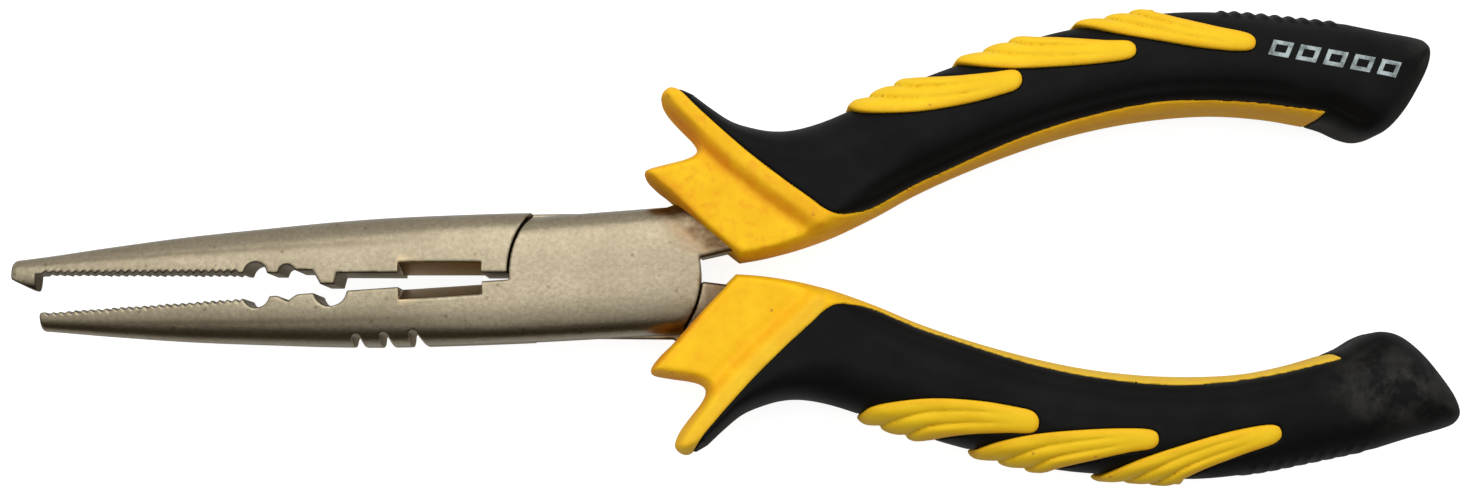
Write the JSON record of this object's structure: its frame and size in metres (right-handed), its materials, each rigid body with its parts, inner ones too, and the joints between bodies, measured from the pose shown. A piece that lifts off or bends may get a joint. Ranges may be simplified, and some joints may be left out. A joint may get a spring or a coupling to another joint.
{
  "type": "fishing pliers",
  "caption": "Long-nose fishing pliers with a split-ring hook, crimping notches, a side cutter and two-colour moulded grips on a riveted lap joint.",
  "frame": {"origin": "on the hinge axis, at the rear flat of the joint", "axes": "+X from the hinge towards the handles along the centre line of the jaws, +Y towards the upper jaw, +Z along the hinge axis out of the front flat"},
  "size_m": [0.1785, 0.0583, 0.0171],
  "materials": {
    "steel": "fine-blasted nickel, satin, warm grey",
    "rivet_steel": "ground flush and blasted with the levers",
    "shell_yellow": "hard moulded plastic, satin",
    "pad_yellow": "moulded plastic, satin",
    "soft_black": "soft moulded rubber, matte"
  },
  "bodies": {
    "rear_half": {"lever_rear": "steel", "rivet": "rivet_steel", "grip_core_lower": "shell_yellow", "sleeve_lower": "soft_black", "pad_lower_front": "pad_yellow", "pad_lower_middle": "pad_yellow", "pad_lower_rear": "pad_yellow"},
    "front_half": {"lever_front": "steel", "grip_core_upper": "shell_yellow", "sleeve_upper": "soft_black", "pad_upper_front": "pad_yellow", "pad_upper_middle": "pad_yellow", "pad_upper_rear": "pad_yellow"}
  },
  "joints": [
    {"name": "hinge", "type": "hinge", "parent": "rear_half", "child": "front_half", "pos_m": [0, 0, 0.00475], "axis": [0, 0, 1], "range_deg": [-3.7, 24]}
  ]
}
